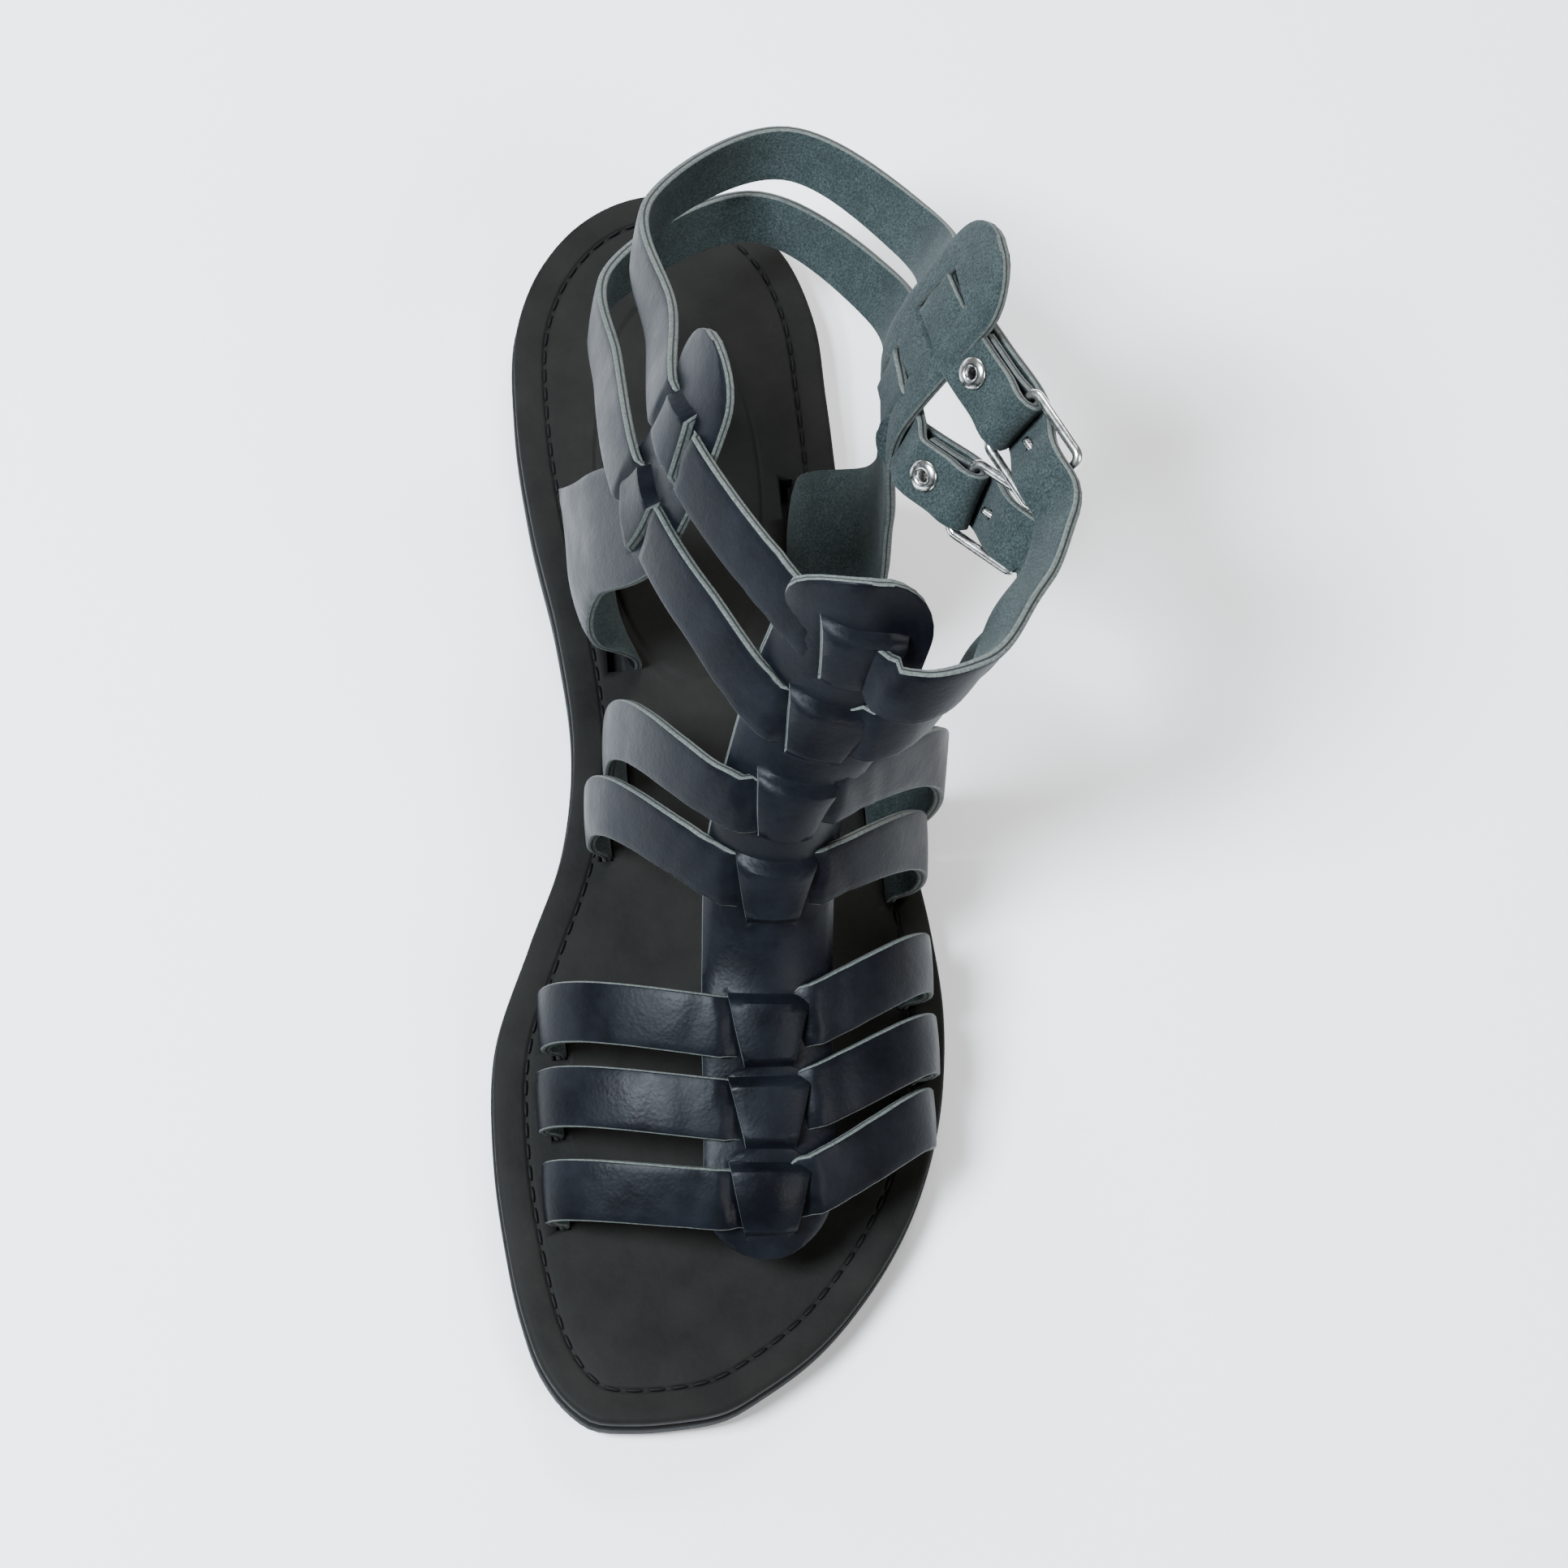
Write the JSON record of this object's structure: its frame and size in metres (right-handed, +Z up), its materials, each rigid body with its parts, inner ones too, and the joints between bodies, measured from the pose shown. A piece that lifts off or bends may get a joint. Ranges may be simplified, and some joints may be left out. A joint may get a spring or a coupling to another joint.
{
  "type": "sandal",
  "caption": "Flat leather gladiator sandal for the left foot, with flat straps laced through a centre strap, and buckled ankle straps.",
  "frame": {"origin": "on the floor, under the middle of the sole", "axes": "+Z up, -Y towards the toe, +X towards the outer side of the left foot"},
  "size_m": [0.1109, 0.26, 0.1155],
  "materials": {
    "rubber_sole": "matt black rubber",
    "footbed_leather": "matt charcoal leather with a stitched edge",
    "strap_leather": "smooth black leather with a navy tint, grey suede inside",
    "nickel": "polished nickel"
  },
  "bodies": {
    "root": {"outsole": "rubber_sole", "insole": "footbed_leather", "upper": "strap_leather", "buckle_lower": "nickel", "buckle_upper": "nickel", "prong_lower": "nickel", "prong_upper": "nickel", "rivet_lower": "nickel", "rivet_upper": "nickel"}
  },
  "joints": []
}
